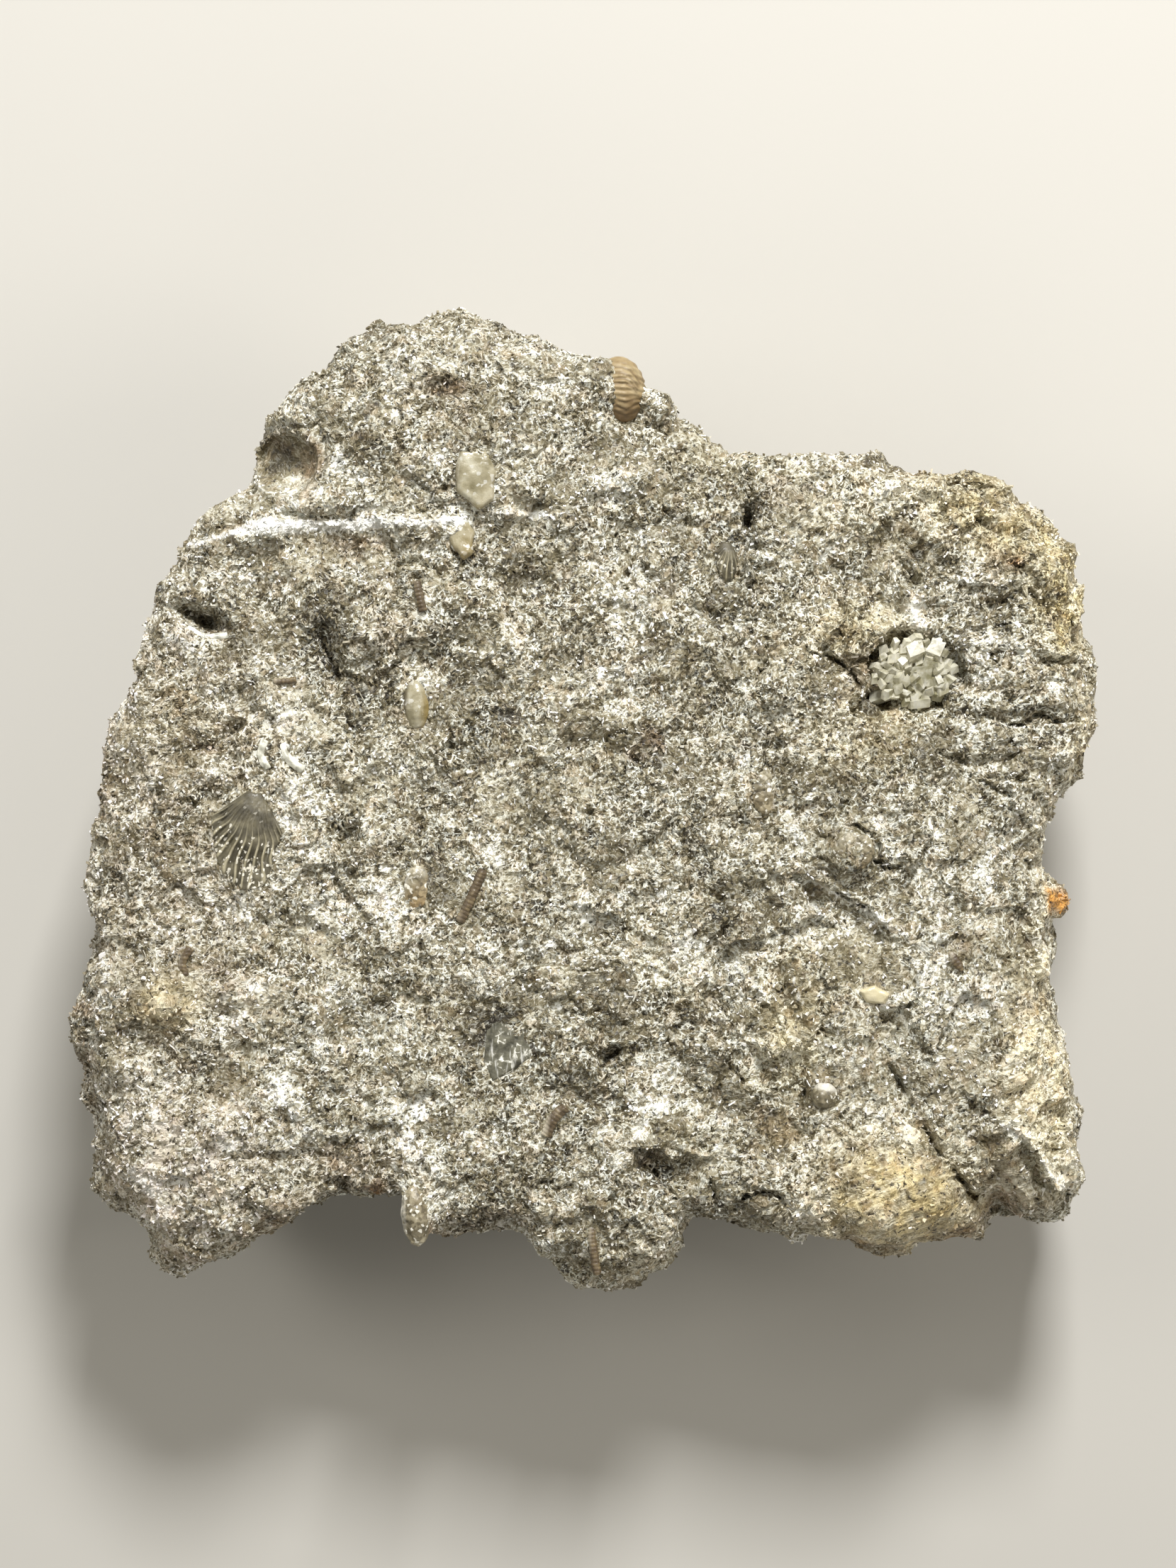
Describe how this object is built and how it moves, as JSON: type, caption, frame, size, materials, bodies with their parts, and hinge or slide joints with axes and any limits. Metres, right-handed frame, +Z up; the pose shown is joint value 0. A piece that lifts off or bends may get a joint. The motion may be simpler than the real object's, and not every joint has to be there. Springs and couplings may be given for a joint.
{
  "type": "trilobite fossil in a limestone block",
  "caption": "Loose block of crinoidal limestone with a small ribbed trilobite tail at its upper edge, among shell pieces, stem pieces and calcite crystals.",
  "frame": {"origin": "on the floor under the middle of the block's box", "axes": "+Z up out of the fossil face, +Y towards the lobe that carries the trilobite, +X along the block's longest side"},
  "size_m": [0.09, 0.086, 0.0273],
  "materials": {
    "limestone": "rough broken, sparry",
    "tan_exoskeleton": "ribbed, dull satin",
    "grey_brown_shell": "ribbed, satin",
    "amber_shell_calcite": "glassy, slightly see-through",
    "grey_shell_calcite": "satin to glassy",
    "brown_stem_calcite": "satin",
    "white_calcite": "glossy cleaved",
    "clear_calcite": "glassy, see-through"
  },
  "bodies": {
    "root": {"limestone_matrix": "limestone", "trilobite_tail": "tan_exoskeleton", "fan_shell": "grey_brown_shell", "dark_ribbed_shell": "grey_brown_shell", "tan_shell_plate": "amber_shell_calcite", "amber_shell_tear": "amber_shell_calcite", "amber_rimmed_lens": "amber_shell_calcite", "grey_oval_lens": "grey_shell_calcite", "cone_shell": "grey_shell_calcite", "cap_shell": "grey_shell_calcite", "round_bead": "grey_shell_calcite", "smooth_edge_cap": "grey_shell_calcite", "stem_piece_upper": "brown_stem_calcite", "stem_piece_middle": "brown_stem_calcite", "stem_piece_left": "brown_stem_calcite", "stem_ring": "brown_stem_calcite", "curved_flake": "brown_stem_calcite", "long_spine": "brown_stem_calcite", "tan_spindle": "brown_stem_calcite", "slit_shell_edge": "white_calcite", "white_crescent_left": "white_calcite", "white_crescent_right": "white_calcite", "cream_chip": "white_calcite", "glassy_plate": "clear_calcite", "calcite_crust": "clear_calcite"}
  },
  "joints": []
}
